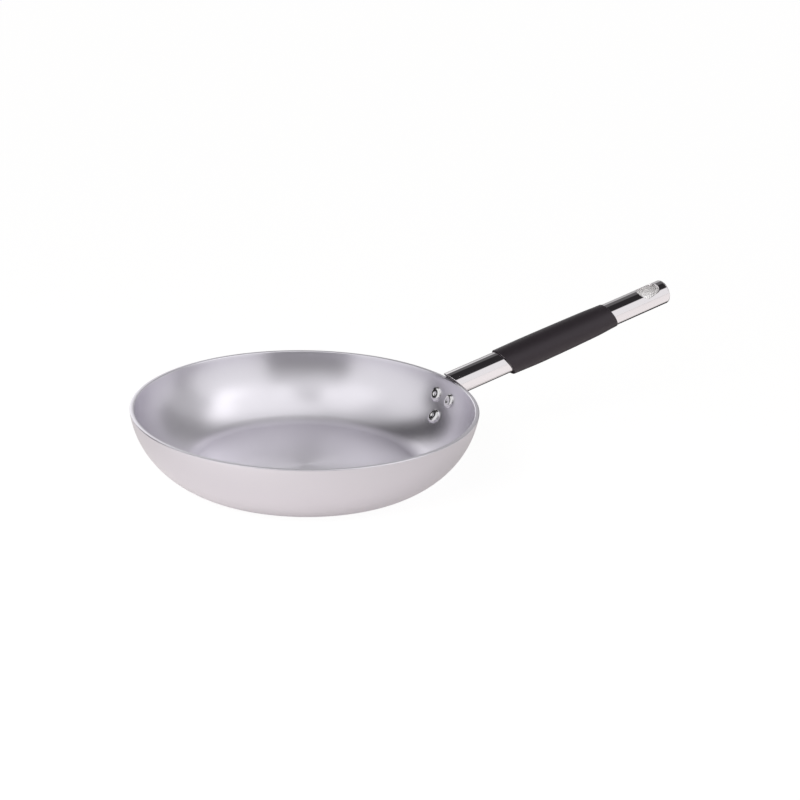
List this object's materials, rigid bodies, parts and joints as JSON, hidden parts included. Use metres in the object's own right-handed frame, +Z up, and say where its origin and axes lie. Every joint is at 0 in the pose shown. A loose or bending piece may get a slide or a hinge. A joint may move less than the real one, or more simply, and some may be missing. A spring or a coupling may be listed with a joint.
{
  "type": "omelette pan",
  "caption": "Low flared omelette pan of thick aluminium with a riveted tubular steel handle, a black grip sleeve and a hanging eye.",
  "frame": {"origin": "centre of the flat base's underside, where the pan rests on the hob", "axes": "+Z up out of the bowl, +X along the handle away from the pan"},
  "size_m": [0.4372, 0.2398, 0.0999],
  "materials": {
    "pan_aluminium": "fine satin, brushed round the axis",
    "handle_steel": "polished stainless steel",
    "grip_silicone": "matte black silicone",
    "rivet_metal": "polished by pressing"
  },
  "bodies": {
    "root": {"pan_body": "pan_aluminium", "handle_bracket": "handle_steel", "handle_tube": "handle_steel", "tube_end_cap": "handle_steel", "grip_sleeve": "grip_silicone", "rivet_upper_left": "rivet_metal", "rivet_upper_right": "rivet_metal", "rivet_lower": "rivet_metal"}
  },
  "joints": []
}
